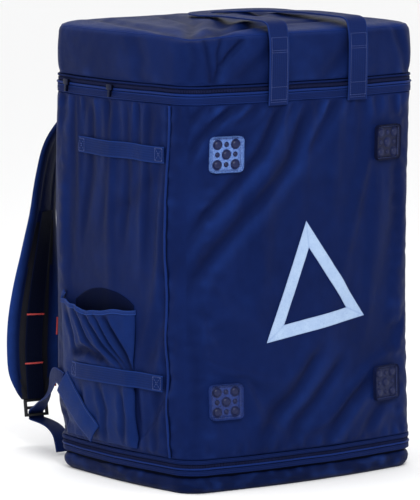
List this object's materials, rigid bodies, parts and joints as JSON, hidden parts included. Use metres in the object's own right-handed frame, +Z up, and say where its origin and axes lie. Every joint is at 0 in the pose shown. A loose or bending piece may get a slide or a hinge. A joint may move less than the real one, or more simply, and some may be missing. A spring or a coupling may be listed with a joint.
{
  "type": "insulated delivery backpack",
  "caption": "Tall square-cornered padded backpack with a zipped lid, side pockets, side straps, a carry handle, shoulder straps, moulded patches and a triangle of reflective tape.",
  "frame": {"origin": "middle of the flat underside of the base, on the floor", "axes": "+Z up, the front panel faces -Y, the shoulder straps hang behind the back panel at +Y, and +X is to the right when the front panel is seen from in front"},
  "size_m": [0.4874, 0.5156, 0.6578],
  "materials": {
    "navy_cloth": "woven coated polyester",
    "navy_webbing": "flat woven webbing",
    "dark_mesh": "padded air mesh",
    "zip_coil": "nylon coil",
    "reflective_tape": "retroreflective tape",
    "moulded_patch": "moulded soft plastic",
    "black_plastic": "moulded acetal",
    "slider_metal": "die-cast zip slider"
  },
  "bodies": {
    "root": {"body_shell": "navy_cloth", "base_pad": "navy_cloth", "lid": "navy_cloth", "top_tape_lower": "navy_webbing", "top_coil": "zip_coil", "top_tape_upper": "navy_webbing", "base_tape_lower": "navy_webbing", "base_coil": "zip_coil", "base_tape_upper": "navy_webbing", "piping_left": "navy_webbing", "piping_right": "navy_webbing", "pocket_left": "navy_cloth", "pocket_right": "navy_cloth", "side_strap_upper_left": "navy_webbing", "side_strap_upper_right": "navy_webbing", "side_strap_lower_left": "navy_webbing", "side_strap_lower_right": "navy_webbing", "patch_low_left": "moulded_patch", "patch_low_right": "moulded_patch", "patch_high_left": "moulded_patch", "patch_high_right": "moulded_patch", "reflective_triangle": "reflective_tape", "carry_handle": "navy_webbing", "yoke": "navy_cloth", "shoulder_strap_left": "dark_mesh", "shoulder_strap_right": "dark_mesh", "strap_webbing_left": "navy_webbing", "strap_webbing_right": "navy_webbing", "ladder_lock_left": "black_plastic", "ladder_lock_right": "black_plastic", "wing_left": "navy_cloth", "wing_right": "navy_cloth", "anchor_webbing_left": "navy_webbing", "anchor_webbing_right": "navy_webbing", "zip_slider_side": "slider_metal", "zip_slider_back": "slider_metal"}
  },
  "joints": []
}
